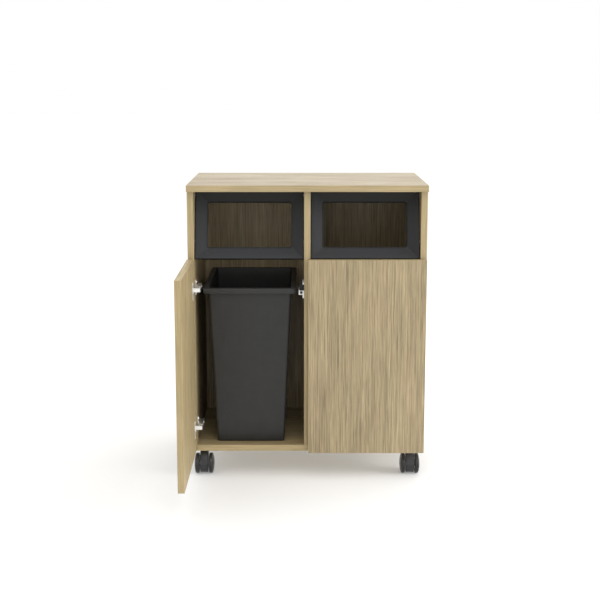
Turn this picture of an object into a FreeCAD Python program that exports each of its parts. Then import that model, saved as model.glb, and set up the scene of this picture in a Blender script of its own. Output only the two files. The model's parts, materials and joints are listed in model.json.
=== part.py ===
import FreeCAD, Part
import math
import os

os.makedirs("parts", exist_ok=True)

# Recycling station for an office: a laminate cabinet on four twin-wheel casters, with two bays side by
# side. Each bay has a fixed hopper frame above, a hinged door below and a loose bin behind the door.
# Millimetres. X runs to the right, Y to the back and Z up. The origin is on the floor, in the middle of
# the ground that the station takes up with its left door open square.

# Cabinet panels
cabinet_width = 711.0
cabinet_height = 900.0
carcass_depth = 409.0
panel_thickness = 19.0
back_thickness = 16.0
panel_edge_round = 0.6
opposed_bore_web = 3.0
dowel_radius = 4.0
dowel_length = 30.0
dowel_in_face = 10.0
dowel_past_caster = 22.0
back_screw_radius = 2.0
back_screw_length = 40.0
back_screw_head_radius = 4.5
back_screw_inset = 70.0
back_screws_per_edge = 3
low_back_screw_shares = (0.3, 0.85)

# Doors
door_thickness = 19.0
door_height = 595.0
door_gap_behind = 3.0
door_side_reveal = 1.0
door_centre_gap = 6.0
door_edge_round = 0.8
left_door_opening = 90.0

# Concealed hinges
lower_hinge_rise = 77.0
upper_hinge_drop = 92.0
cup_radius = 17.5
cup_edge_distance = 3.0
cup_bore_depth = 12.5
cup_depth = 12.3
cup_flange_radius = 19.0
cup_flange_thickness = 1.5
cup_wing_height = 56.0
cup_wing_start = 20.0
cup_wing_end = 36.0
cup_wing_corner = 6.0
cup_screw_spacing = 45.0
cup_screw_distance = 30.0
cup_screw_radius = 1.75
cup_screw_length = 11.0
cup_screw_head_radius = 3.2
cup_screw_head_height = 0.9
pivot_from_edge = 7.0
pivot_depth_in_door = 9.0
hinge_pin_radius = 1.4
hinge_pin_half_length = 9.0
hinge_pin_clearance = 0.06
hinge_eye_radius = 2.5
hinge_neck_half_height = 5.75
hinge_neck_thickness = 3.0
hinge_neck_reach = 27.0
pocket_clearance = 0.3
pocket_floor_depth = 11.8
arm_channel_half_height = 8.25
arm_channel_wall = 1.65
arm_channel_cover = 2.0
arm_channel_length = 58.0
arm_wide_start = 1.0
arm_web_thickness = 4.0
arm_web_overlap = 1.0
arm_plate_gap = 0.2
hinge_plate_thickness = 2.5
hinge_plate_half_height = 24.0
hinge_plate_width = 20.0
hinge_plate_setback = 37.0
hinge_plate_screw_spacing = 32.0
hinge_plate_corner = 5.0
hinge_block_half_height = 6.3
hinge_block_start = 12.0
hinge_block_length = 44.0
hinge_screw_radius = 1.75
hinge_screw_length = 13.0
hinge_screw_head_radius = 3.5
hinge_screw_head_height = 1.8
arm_screw_radius = 2.4
arm_screw_length = 12.0
arm_screw_head_radius = 3.9
arm_screw_head_height = 1.8
arm_screw_from_end = 11.0

# Hopper frames
hopper_tilt = 15.0
hopper_setback = 10.0
hopper_below_door_top = 1.0
hopper_top_clearance = 1.0
hopper_side_clearance = 1.5
hopper_border = 37.0
hopper_depth = 26.0
hopper_wall = 3.0
hopper_front_land = 3.0
hopper_funnel_depth = 17.0
hopper_bead_width = 3.0
hopper_bead_height = 2.0
hopper_pin_radius = 2.5
hopper_pin_clearance = 0.05
hopper_pin_in_depth = 5.5
hopper_pin_from_top = 16.0
hopper_pin_from_bottom = 53.0
hopper_pin_past_wall = 1.5
hopper_pin_hole_depth = 12.0

# Bins
bin_side_clearance = 23.5
bin_front_clearance = 5.0
bin_back_clearance = 6.0
bin_below_hopper = 90.0
bin_floor_gap = 0.3
bin_wall = 2.5
bin_rim_overhang = 14.0
bin_rim_height = 16.0
bin_side_taper = 22.5
bin_end_taper = 17.0
bin_corner_top = 10.0
bin_corner_bottom = 9.0
bin_rim_corner = 13.0
bin_rim_edge_round = 2.0

# Touch latches on the divider
latch_drop = 102.0
latch_plate_thickness = 4.3
latch_plate_half_height = 24.0
latch_plate_front = 3.0
latch_plate_length = 58.0
latch_plate_centre_above = 6.0
latch_housing_reach = 16.0
latch_housing_half_height = 7.0
latch_housing_front = 2.0
latch_housing_length = 52.0
latch_bore_from_divider = 8.3
latch_bore_radius = 4.0
latch_bore_depth = 34.0
plunger_clearance = 0.08
plunger_door_gap = 0.35
plunger_length = 30.0
plunger_tip_radius = 3.0
plunger_tip_length = 3.0
buffer_reach = 14.0
buffer_height = 17.0
buffer_length = 26.0
buffer_door_gap = 0.4
latch_screw_radius = 1.75
latch_screw_head_radius = 3.4
latch_screw_head_height = 1.6
latch_screw_above_edge = 1.5
latch_screw_below_edge = 4.0
latch_screw_from_rear = 4.0
latch_plate_corner = 4.0
latch_housing_round = 1.2
buffer_round = 2.0
strike_radius = 7.0
strike_thickness = 1.2

# Casters
caster_height = 84.0
caster_side_inset = 37.5
caster_end_inset = 62.0
caster_trail = 19.0
caster_plate_size = 42.0
caster_plate_thickness = 3.0
caster_plate_corner = 5.0
caster_stem_radius = 5.0
caster_stem_length = 35.0
caster_stem_clearance = 0.05
caster_boss_radius = 11.0
caster_boss_gap = 0.5
caster_screw_spacing = 28.0
caster_screw_radius = 2.0
caster_screw_length = 16.0
caster_screw_head_radius = 3.8
caster_screw_head_height = 2.2
caster_screw_head_round = 0.8
hood_top_below_plate = 3.5
hood_width = 23.5
hood_web_shortfall = 2.5
hood_crown_width = 12.0
hood_brow = (0.5, 1.2)
hood_cheek = (0.94, 0.4)
tongue_width = 20.6
tongue_bottom = 47.0
tongue_depth = 2.4
wheel_radius = 31.0
wheel_inner_face = 15.5
wheel_tread_width = 10.5
wheel_outer_face = 30.0
wheel_tread_round = 1.8
wheel_hub_radius = 9.0
wheel_dome = (0.68, 0.76)
axle_radius = 4.0
axle_clearance = 0.05
axle_end_inset = 3.5
axle_end_gap = 0.5

# Worked out from the sizes above
half_width = cabinet_width / 2
half_panel = panel_thickness / 2
inner_half_width = half_width - panel_thickness
bay_width = inner_half_width - half_panel
bay_centre = half_panel + bay_width / 2
carcass_top = cabinet_height - panel_thickness
floor_top = caster_height + panel_thickness
dowel_in_end = dowel_length - dowel_in_face
opposed_bore_depth = (panel_thickness - opposed_bore_web) / 2
door_width = half_width - door_side_reveal - door_centre_gap / 2
door_top = caster_height + door_height
pivot_forward = door_gap_behind + pivot_depth_in_door
open_door_reach = pivot_forward + door_width - pivot_from_edge
front = (open_door_reach - carcass_depth) / 2
back = front + carcass_depth
back_panel_face = back - back_thickness
door_back = front - door_gap_behind
door_front = door_back - door_thickness
hinge_edge_x = -half_width + door_side_reveal
pivot_x = hinge_edge_x + pivot_from_edge
pivot_y = front - pivot_forward
cup_centre_x = hinge_edge_x + cup_edge_distance + cup_radius
hinge_heights = [caster_height + lower_hinge_rise, door_top - upper_hinge_drop]
hopper_bottom = door_top - hopper_below_door_top
tilt = math.radians(hopper_tilt)
hopper_width = bay_width - 2 * hopper_side_clearance
hopper_length = (carcass_top - hopper_top_clearance - hopper_bottom) / math.cos(tilt)
bin_top = hopper_bottom - bin_below_hopper
bin_bottom = floor_top + bin_floor_gap
latch_z = door_top - latch_drop
wheel_axle_z = wheel_radius
cut_overshoot = 1.0
stem_overlap = 0.5
dowel_end_inset = caster_end_inset + caster_plate_size / 2 + dowel_past_caster


def vector(x, y, z):
    return FreeCAD.Vector(x, y, z)


def block(x0, x1, y0, y1, z0, z1):
    low = vector(min(x0, x1), min(y0, y1), min(z0, z1))
    return Part.makeBox(abs(x1 - x0), abs(y1 - y0), abs(z1 - z0), low)


def rod(radius, start, direction, length):
    return Part.makeCylinder(radius, length, start, direction)


def across(radius, x0, x1, y, z):
    return rod(radius, vector(min(x0, x1), y, z), vector(1, 0, 0), abs(x1 - x0))


def upright(radius, x, y, z0, z1):
    return rod(radius, vector(x, y, z0), vector(0, 0, 1), z1 - z0)


def fore_aft(radius, x, y0, y1, z):
    return rod(radius, vector(x, min(y0, y1), z), vector(0, 1, 0), abs(y1 - y0))


def rounded(shape, radius):
    return shape.makeFillet(radius, shape.Edges)


def joined(shapes):
    return shapes[0].fuse(shapes[1:]).removeSplitter()


def group(shapes):
    return Part.makeCompound(shapes)


def mirrored(shape):
    return shape.mirror(vector(0, 0, 0), vector(1, 0, 0))


def moved(shape, x, y, z):
    copy = shape.copy()
    copy.translate(vector(x, y, z))
    return copy


def rounded_rectangle(width, length, radius, centre_x, centre_y, z):
    """Closed wire at height z with its four corners rounded."""
    half_w = width / 2
    half_l = length / 2
    corners = [(half_w, half_l, 0), (-half_w, half_l, 90), (-half_w, -half_l, 180), (half_w, -half_l, 270)]
    edges = []
    points = []
    for x, y, turn in corners:
        centre = vector(centre_x + x - math.copysign(radius, x), centre_y + y - math.copysign(radius, y), z)
        arc = [
            centre + vector(math.cos(math.radians(a)), math.sin(math.radians(a)), 0) * radius
            for a in (turn, turn + 45, turn + 90)
        ]
        points.append(arc)
    for number, arc in enumerate(points):
        edges.append(Part.Arc(arc[0], arc[1], arc[2]).toShape())
        following = points[(number + 1) % 4]
        edges.append(Part.LineSegment(arc[2], following[0]).toShape())
    return Part.Wire(edges)


def upright_rectangle(width, y, z0, z1):
    """Closed rectangular wire across the X axis, facing along Y."""
    half = width / 2
    corners = [vector(-half, y, z0), vector(half, y, z0), vector(half, y, z1), vector(-half, y, z1)]
    return Part.makePolygon(corners + corners[:1])


def between(first, second):
    return Part.makeLoft([first, second], True, True)


def open_left(shape):
    """Swings a piece of the closed left door to where the door stands at rest."""
    return shape.rotated(vector(pivot_x, pivot_y, 0), vector(0, 0, 1), -left_door_opening)


def save(name, shape):
    assert shape.isValid(), name
    shape.exportStep("parts/" + name + ".step")
    print(name, len(shape.Solids), round(shape.Volume))


# ---- carcass ----


def dowel_rows():
    """Centre points of the dowels between panels: end face, top or bottom, and the panel's middle line."""
    along = [front + dowel_end_inset, (front + back_panel_face) / 2, back_panel_face - dowel_end_inset]
    rows = []
    for y in along:
        for side in (-1, 1):
            x = side * inner_half_width
            z = caster_height + half_panel
            rows.append(across(dowel_radius, x + side * dowel_in_face, x - side * dowel_in_end, y, z))
            x_mid = side * (half_width - half_panel)
            rows.append(upright(dowel_radius, x_mid, y, carcass_top - dowel_in_end, carcass_top + dowel_in_face))
        rows.append(upright(dowel_radius, 0, y, floor_top - dowel_in_face, floor_top + dowel_in_end))
        rows.append(upright(dowel_radius, 0, y, carcass_top - dowel_in_end, carcass_top + dowel_in_face))
    return rows


def back_screw_solids():
    """Countersunk screws through the back panel into the rear edges of the divider and the bottom panel."""
    spots = []
    for number in range(back_screws_per_edge):
        share = number / (back_screws_per_edge - 1)
        span = carcass_top - floor_top - 2 * back_screw_inset
        spots.append((0, floor_top + back_screw_inset + share * span))
    for side in (-1, 1):
        for share in low_back_screw_shares:
            spots.append((side * inner_half_width * share, caster_height + half_panel))
    solids = []
    head_depth = back_screw_head_radius - back_screw_radius
    for x, z in spots:
        shank = fore_aft(back_screw_radius, x, back - back_screw_length, back, z)
        seat = vector(x, back - head_depth, z)
        head = Part.makeCone(back_screw_radius, back_screw_head_radius, head_depth, seat, vector(0, 1, 0))
        solids.append(joined([shank, head]))
    return solids


def hopper_pin_solids(side):
    """Steel pins along X that carry one hopper frame, two on each flank."""
    solids = []
    for at in (hopper_pin_from_bottom, hopper_length - hopper_pin_from_top):
        y = front + hopper_setback + hopper_pin_in_depth * math.cos(tilt) + at * math.sin(tilt)
        z = hopper_bottom - hopper_pin_in_depth * math.sin(tilt) + at * math.cos(tilt)
        reach = hopper_side_clearance + hopper_wall + hopper_pin_past_wall
        outer = inner_half_width + opposed_bore_depth
        solids.append(across(hopper_pin_radius, side * outer, side * (inner_half_width - reach), y, z))
        inner = half_panel - opposed_bore_depth
        solids.append(across(hopper_pin_radius, side * inner, side * (half_panel + reach), y, z))
    return solids


def hinge_plate_screw_solids():
    """Screws that hold the left mounting plates to the side panel."""
    solids = []
    y = front + hinge_plate_setback
    face = -inner_half_width + hinge_plate_thickness
    for height in hinge_heights:
        for end in (-1, 1):
            z = height + end * hinge_plate_screw_spacing / 2
            shank = across(hinge_screw_radius, face - hinge_screw_length, face, y, z)
            head = across(hinge_screw_head_radius, face, face + hinge_screw_head_height, y, z)
            solids.append(joined([shank, head]))
    return solids


def latch_screw_solids():
    """Screws that hold the left latch plate to the divider."""
    face = -half_panel - latch_plate_thickness
    plate_z = latch_z + latch_plate_centre_above
    low_z = plate_z - latch_plate_half_height + latch_screw_head_radius + latch_screw_above_edge
    high_z = plate_z + latch_plate_half_height - latch_screw_head_radius - latch_screw_below_edge
    y = front + latch_plate_front + latch_plate_length - latch_screw_head_radius - latch_screw_from_rear
    solids = []
    for z in (low_z, high_z):
        shank = across(latch_screw_radius, face, -half_panel + opposed_bore_depth, y, z)
        head = across(latch_screw_head_radius, face - latch_screw_head_height, face, y, z)
        solids.append(joined([shank, head]))
    return solids


def caster_screw_solids(x, y):
    """The four screws of one caster plate."""
    half = caster_screw_spacing / 2
    under = caster_height - caster_plate_thickness
    solids = []
    for sx in (-half, half):
        for sy in (-half, half):
            shank = upright(caster_screw_radius, x + sx, y + sy, under, under + caster_screw_length)
            head = upright(caster_screw_head_radius, x + sx, y + sy, under - caster_screw_head_height, under)
            solids.append(joined([shank, rounded_head(head)]))
    return solids


def rounded_head(head):
    lower = [e for e in head.Edges if abs(e.BoundBox.ZMax - head.BoundBox.ZMin) < 0.001]
    return head.makeFillet(caster_screw_head_round, lower)


caster_places = {
    "front_left": (-1, front + caster_end_inset),
    "front_right": (1, front + caster_end_inset),
    "rear_left": (-1, back - caster_end_inset),
    "rear_right": (1, back - caster_end_inset),
}
caster_x = half_width - caster_side_inset

dowels = dowel_rows()
back_screws = back_screw_solids()
hopper_pins = hopper_pin_solids(-1) + hopper_pin_solids(1)
left_plate_screws = hinge_plate_screw_solids()
plate_screws = left_plate_screws + [mirrored(s) for s in left_plate_screws]
left_latch_screws = latch_screw_solids()
latch_screws = left_latch_screws + [mirrored(s) for s in left_latch_screws]
caster_screws = []
for hand, place_y in caster_places.values():
    caster_screws += caster_screw_solids(hand * caster_x, place_y)


def panel(x0, x1, y0, y1, z0, z1):
    return rounded(block(x0, x1, y0, y1, z0, z1), panel_edge_round)


top_panel = panel(-half_width, half_width, door_front, back, carcass_top, cabinet_height)
side_panel_left = panel(-half_width, -inner_half_width, front, back, caster_height, carcass_top)
side_panel_right = panel(inner_half_width, half_width, front, back, caster_height, carcass_top)
bottom_panel = panel(-inner_half_width, inner_half_width, front, back_panel_face, caster_height, floor_top)
centre_divider = panel(-half_panel, half_panel, front, back_panel_face, floor_top, carcass_top)
back_panel = panel(-inner_half_width, inner_half_width, back_panel_face, back, caster_height, carcass_top)

save("top_panel", top_panel.cut(dowels))
save("side_panel_left", side_panel_left.cut(dowels + hopper_pins + plate_screws))
save("side_panel_right", side_panel_right.cut(dowels + hopper_pins + plate_screws))
save("bottom_panel", bottom_panel.cut(dowels + back_screws + caster_screws))
save("centre_divider", centre_divider.cut(dowels + back_screws + hopper_pins + latch_screws))
save("back_panel", back_panel.cut(back_screws))
save("carcass_dowels", group(dowels))
save("back_screws", group(back_screws))


# ---- hopper frames ----


def hopper_frame():
    """Picture frame that funnels inwards, built upright at X = 0 and then leaned back into its bay."""
    height = hopper_length
    land = hopper_front_land
    opening_width = hopper_width - 2 * hopper_border
    low = hopper_border
    high = height - hopper_border
    body = block(-hopper_width / 2, hopper_width / 2, 0, hopper_depth, 0, height)

    funnel = between(
        upright_rectangle(hopper_width - 2 * land, 0, land, height - land),
        upright_rectangle(opening_width, hopper_funnel_depth, low, high),
    )
    throat = block(-opening_width / 2, opening_width / 2, 0, hopper_depth, low, high)

    wall = hopper_wall
    skin = between(
        upright_rectangle(hopper_width - 2 * land + 2 * wall, wall, land - wall, height - land + wall),
        upright_rectangle(opening_width + 2 * wall, hopper_funnel_depth + wall, low - wall, high + wall),
    )
    collar = block(
        -opening_width / 2 - wall, opening_width / 2 + wall, 0, hopper_depth, low - wall, high + wall
    )
    hollow = block(-hopper_width / 2 + wall, hopper_width / 2 - wall, wall, hopper_depth, wall, height - wall)
    body = body.cut(hollow.cut(joined([skin, collar]))).cut(joined([funnel, throat]))

    bead_y = hopper_funnel_depth - hopper_bead_height
    bead_out = block(
        -opening_width / 2 - hopper_bead_width,
        opening_width / 2 + hopper_bead_width,
        bead_y,
        hopper_funnel_depth + wall,
        low - hopper_bead_width,
        high + hopper_bead_width,
    )
    body = joined([body, bead_out.cut(throat)])
    body.rotate(vector(0, 0, 0), vector(1, 0, 0), -hopper_tilt)
    return moved(body, 0, front + hopper_setback, hopper_bottom)


def pin_holes(side):
    solids = []
    for at in (hopper_pin_from_bottom, hopper_length - hopper_pin_from_top):
        y = front + hopper_setback + hopper_pin_in_depth * math.cos(tilt) + at * math.sin(tilt)
        z = hopper_bottom - hopper_pin_in_depth * math.sin(tilt) + at * math.cos(tilt)
        radius = hopper_pin_radius + hopper_pin_clearance
        inner_end = half_panel + hopper_pin_hole_depth
        outer_end = inner_half_width - hopper_pin_hole_depth
        solids.append(across(radius, side * half_panel, side * inner_end, y, z))
        solids.append(across(radius, side * outer_end, side * inner_half_width, y, z))
    return solids


frame_shape = hopper_frame()
for name, side in (("left", -1), ("right", 1)):
    save("hopper_frame_" + name, moved(frame_shape, side * bay_centre, 0, 0).cut(pin_holes(side)))
save("hopper_frame_pins", group(hopper_pins))


# ---- doors and concealed hinges, drawn for the closed left door ----


def cup_solid(height):
    """Hinge cup with its winged flange, pocketed for the arm and bored for the pin and the screws."""
    face = door_back
    body = fore_aft(cup_radius, cup_centre_x, face - cup_depth, face, height)
    rim = fore_aft(cup_flange_radius, cup_centre_x, face, face + cup_flange_thickness, height)
    wing = block(
        hinge_edge_x + cup_wing_start,
        hinge_edge_x + cup_wing_end,
        face,
        face + cup_flange_thickness,
        height - cup_wing_height / 2,
        height + cup_wing_height / 2,
    )
    corners = [e for e in wing.Edges if abs(e.BoundBox.YLength - cup_flange_thickness) < 0.01]
    wing = wing.makeFillet(cup_wing_corner, corners)
    half = hinge_neck_half_height + pocket_clearance
    chord = math.sqrt(cup_radius**2 - (half + pocket_clearance) ** 2)
    pocket = block(
        pivot_x - hinge_eye_radius - pocket_clearance,
        cup_centre_x + chord,
        face - pocket_floor_depth,
        face + cup_flange_thickness + cut_overshoot,
        height - half,
        height + half,
    )
    pin = hinge_pin_solid(height)
    return joined([body, rim, wing]).cut([pocket, pin] + cup_screw_pair(height))


def hinge_pin_solid(height):
    low = height - hinge_pin_half_length
    return upright(hinge_pin_radius, pivot_x, pivot_y, low, height + hinge_pin_half_length)


def cup_screw_pair(height):
    solids = []
    x = hinge_edge_x + cup_screw_distance
    top = door_back + cup_flange_thickness
    for end in (-1, 1):
        z = height + end * cup_screw_spacing / 2
        shank = fore_aft(cup_screw_radius, x, top - cup_screw_length, top, z)
        head = fore_aft(cup_screw_head_radius, x, top, top + cup_screw_head_height, z)
        solids.append(joined([shank, head]))
    return solids


def strike_solid():
    x = -half_panel - latch_bore_from_divider
    return fore_aft(strike_radius, x, door_back - strike_thickness, door_back, latch_z)


def door_slab():
    slab = rounded(
        block(hinge_edge_x, hinge_edge_x + door_width, door_front, door_back, caster_height, door_top),
        door_edge_round,
    )
    cuts = [strike_solid()]
    bore_floor = door_back - cup_bore_depth
    for height in hinge_heights:
        cuts.append(fore_aft(cup_radius, cup_centre_x, bore_floor, door_back + cut_overshoot, height))
        cuts += cup_screw_pair(height)
    return slab.cut(cuts)


def arm_solid(height):
    """Gooseneck from the hinge pin, round the front edge of the side panel, to a channel on the plate."""
    half = hinge_neck_half_height
    thick = hinge_neck_thickness / 2
    neck_x = pivot_x + hinge_neck_reach
    eye = upright(hinge_eye_radius, pivot_x, pivot_y, height - half, height + half)
    neck = block(pivot_x, neck_x + thick, pivot_y - thick, pivot_y + thick, height - half, height + half)
    cover = neck_x + thick
    start = front + arm_wide_start
    web_end = start + arm_web_thickness
    rise = block(neck_x - thick, cover, pivot_y - thick, web_end, height - half, height + half)
    channel = block(
        -inner_half_width + hinge_plate_thickness + arm_plate_gap,
        cover,
        web_end - arm_web_overlap,
        start + arm_channel_length,
        height - arm_channel_half_height,
        height + arm_channel_half_height,
    )
    inside = arm_channel_half_height - arm_channel_wall
    hollow = block(
        -inner_half_width,
        cover - arm_channel_cover,
        start,
        start + arm_channel_length + cut_overshoot,
        height - inside,
        height + inside,
    )
    web = block(
        neck_x - thick,
        cover,
        start,
        web_end,
        height - arm_channel_half_height,
        height + arm_channel_half_height,
    )
    bore_half = half + cut_overshoot
    bore_radius = hinge_pin_radius + hinge_pin_clearance
    bore = upright(bore_radius, pivot_x, pivot_y, height - bore_half, height + bore_half)
    return joined([eye, neck, rise, channel.cut(hollow), web]).cut([bore, arm_screw(height)])


def arm_screw(height):
    cover = pivot_x + hinge_neck_reach + hinge_neck_thickness / 2
    y = front + arm_wide_start + arm_channel_length - arm_screw_from_end
    shank = across(arm_screw_radius, cover - arm_screw_length, cover, y, height)
    head = across(arm_screw_head_radius, cover, cover + arm_screw_head_height, y, height)
    return joined([shank, head])


def plate_solid(height):
    """Cross-shaped mounting plate on the side panel, with the block that the arm rides on."""
    face = -inner_half_width
    base = block(
        face,
        face + hinge_plate_thickness,
        front + hinge_plate_setback - hinge_plate_width / 2,
        front + hinge_plate_setback + hinge_plate_width / 2,
        height - hinge_plate_half_height,
        height + hinge_plate_half_height,
    )
    corners = [e for e in base.Edges if abs(e.BoundBox.XLength - hinge_plate_thickness) < 0.01]
    base = base.makeFillet(hinge_plate_corner, corners)
    block_face = pivot_x + hinge_neck_reach + hinge_neck_thickness / 2 - arm_channel_cover
    rail = block(
        face,
        block_face,
        front + hinge_block_start,
        front + hinge_block_start + hinge_block_length,
        height - hinge_block_half_height,
        height + hinge_block_half_height,
    )
    return joined([base, rail]).cut([arm_screw(height)] + left_plate_screws)


cups = group([cup_solid(z) for z in hinge_heights])
pins = group([hinge_pin_solid(z) for z in hinge_heights])
cup_screws = group([s for z in hinge_heights for s in cup_screw_pair(z)])
arms = group([arm_solid(z) for z in hinge_heights])
plates = group([plate_solid(z) for z in hinge_heights])
arm_screws = [arm_screw(z) for z in hinge_heights]
slab = door_slab()
strike = strike_solid()

door_pieces = {"door": slab, "hinge_cups": cups, "hinge_pins": pins, "hinge_cup_screws": cup_screws}
door_pieces["latch_strike"] = strike
for name, piece in door_pieces.items():
    save(name + "_left", open_left(piece))
    save(name + "_right", mirrored(piece))
for name, piece in {"hinge_arms": arms, "hinge_plates": plates}.items():
    save(name + "_left", piece)
    save(name + "_right", mirrored(piece))
save("hinge_screws", group(plate_screws + arm_screws + [mirrored(s) for s in arm_screws]))


# ---- touch latches, drawn for the left bay ----


latch_x = -half_panel - latch_bore_from_divider
housing_front = front + latch_housing_front


def latch_plate():
    middle = latch_z + latch_plate_centre_above
    low = middle - latch_plate_half_height
    high = middle + latch_plate_half_height
    start = front + latch_plate_front
    outline = block(
        -half_panel - latch_plate_thickness, -half_panel, start, start + latch_plate_length, low, high
    )
    corners = [e for e in outline.Edges if abs(e.BoundBox.XLength - latch_plate_thickness) < 0.01]
    return outline.makeFillet(latch_plate_corner, corners).cut([housing_outline()] + left_latch_screws)


def housing_outline():
    outline = block(
        -half_panel - latch_housing_reach,
        -half_panel,
        housing_front,
        housing_front + latch_housing_length,
        latch_z - latch_housing_half_height,
        latch_z + latch_housing_half_height,
    )
    free = [e for e in outline.Edges if e.BoundBox.XMax < -half_panel - cut_overshoot]
    return outline.makeFillet(latch_housing_round, free)


def latch_housing():
    bore_start = housing_front - cut_overshoot
    bore_end = housing_front + latch_bore_depth
    return housing_outline().cut(fore_aft(latch_bore_radius, latch_x, bore_start, bore_end, latch_z))


def latch_plunger():
    tip = door_back + plunger_door_gap
    neck = tip + plunger_tip_length
    nose = fore_aft(plunger_tip_radius, latch_x, tip, neck, latch_z)
    shaft = fore_aft(latch_bore_radius - plunger_clearance, latch_x, neck, tip + plunger_length, latch_z)
    return joined([nose, shaft])


def door_buffer():
    """Rubber stop above the latch housing that the door's inner face closes against."""
    low = latch_z + latch_housing_half_height
    start = door_back + buffer_door_gap
    solid = block(
        -half_panel - buffer_reach, -half_panel, start, start + buffer_length, low, low + buffer_height
    )
    outer = [e for e in solid.Edges if e.BoundBox.XMax < -half_panel - cut_overshoot]
    return solid.makeFillet(buffer_round, outer).cut([latch_plate(), door_shadow()])


def door_shadow():
    """The divider's own edge stands behind the door, so the stop is trimmed to the bay's side."""
    return block(-half_panel, half_panel, door_back, back, caster_height, carcass_top)


for name, piece in {
    "latch_plate": latch_plate(),
    "latch_housing": latch_housing(),
    "latch_plunger": latch_plunger(),
    "door_buffer": door_buffer(),
}.items():
    save(name + "_left", piece)
    save(name + "_right", mirrored(piece))
save("latch_screws", group(latch_screws))


# ---- bins ----


def bin_solid():
    """Tapered open-top bin with a turned-down rim, standing on the bottom panel of the left bay."""
    rim_width = bay_width - 2 * bin_side_clearance
    rim_front = front + bin_front_clearance
    rim_back = back_panel_face - bin_back_clearance
    rim_length = rim_back - rim_front
    middle = (rim_front + rim_back) / 2
    top_width = rim_width - 2 * bin_rim_overhang
    top_length = rim_length - 2 * bin_rim_overhang
    low_width = top_width - 2 * bin_side_taper
    low_length = top_length - 2 * bin_end_taper
    wall = bin_wall

    def outline(width, length, corner, height, inset):
        return rounded_rectangle(
            width - 2 * inset, length - 2 * inset, corner - inset, -bay_centre, middle, height
        )

    outer = between(
        outline(low_width, low_length, bin_corner_bottom, bin_bottom, 0),
        outline(top_width, top_length, bin_corner_top, bin_top, 0),
    )
    inner = between(
        outline(low_width, low_length, bin_corner_bottom, bin_bottom + wall, wall),
        outline(top_width, top_length, bin_corner_top, bin_top, wall),
    )
    rim_block = Part.Face(outline(rim_width, rim_length, bin_rim_corner, bin_top - bin_rim_height, 0))
    rim_block = rim_block.extrude(vector(0, 0, bin_rim_height))
    top_edges = [e for e in rim_block.Edges if abs(e.BoundBox.ZMin - bin_top) < 0.01]
    rim_block = rim_block.makeFillet(bin_rim_edge_round, top_edges)
    hollow_low = bin_top - bin_rim_height - cut_overshoot
    rim_hollow = Part.Face(outline(rim_width, rim_length, bin_rim_corner, hollow_low, wall))
    rim_hollow = rim_hollow.extrude(vector(0, 0, bin_rim_height - wall + cut_overshoot))
    rim = rim_block.cut(rim_hollow)
    return joined([outer, rim]).cut(inner)


bin_shape = bin_solid()
save("bin_left", bin_shape)
save("bin_right", mirrored(bin_shape))


# ---- casters, drawn about their swivel axis with the wheels trailing towards the front ----


def sheet(points, x0, x1):
    """Flat plate across X from an outline of (y, z) points."""
    wire = Part.makePolygon([vector(x0, y, z) for y, z in points + points[:1]])
    return Part.Face(wire).extrude(vector(x1 - x0, 0, 0))


def caster_plate():
    under = caster_height - caster_plate_thickness
    half = caster_plate_size / 2
    plate = block(-half, half, -half, half, under, caster_height)
    corners = [e for e in plate.Edges if abs(e.BoundBox.ZLength - caster_plate_thickness) < 0.01]
    plate = plate.makeFillet(caster_plate_corner, corners)
    stem = upright(caster_stem_radius, 0, 0, under - caster_stem_length, under + stem_overlap)
    return joined([plate, stem]).cut(caster_screw_solids(0, 0))


def hood_profile(grow, half):
    """Hood side outline: a disc about the axle with a shoulder up to the swivel boss."""
    top = caster_height - caster_plate_thickness - hood_top_below_plate
    radius = wheel_radius - hood_web_shortfall + grow
    disc = across(radius, -half, half, -caster_trail, wheel_axle_z)
    shoulder = [
        (caster_boss_radius, wheel_axle_z),
        (caster_boss_radius, top),
        (-hood_crown_width, top),
        (-caster_trail - radius * hood_brow[0], wheel_axle_z + radius * hood_brow[1]),
        (-caster_trail - radius * hood_cheek[0], wheel_axle_z + radius * hood_cheek[1]),
        (-caster_trail, wheel_axle_z),
    ]
    return joined([disc, sheet(shoulder, -half, half)])


def tongue_outline():
    """Front cover of the hood, straight-sided with a round lower end."""
    half = tongue_width / 2
    top = caster_height - caster_plate_thickness - hood_top_below_plate
    reach = caster_trail + wheel_radius + tongue_depth
    straight = block(-half, half, -reach, -caster_trail, tongue_bottom + half, top)
    round_end = fore_aft(half, 0, -reach, -caster_trail, tongue_bottom + half)
    return joined([straight, round_end])


def caster_hood():
    half = hood_width / 2
    web = hood_profile(0, half)
    tongue = hood_profile(tongue_depth, half).common(tongue_outline())
    boss_top = caster_height - caster_plate_thickness - caster_boss_gap
    boss = upright(caster_boss_radius, 0, 0, wheel_axle_z, boss_top)
    socket_end = caster_height - caster_plate_thickness - caster_stem_length - caster_boss_gap
    socket = upright(caster_stem_radius + caster_stem_clearance, 0, 0, socket_end, boss_top + cut_overshoot)
    return joined([web, tongue, boss]).cut([socket, caster_axle()])


def caster_axle():
    half = wheel_outer_face - axle_end_inset
    return across(axle_radius, -half, half, -caster_trail, wheel_axle_z)


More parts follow.
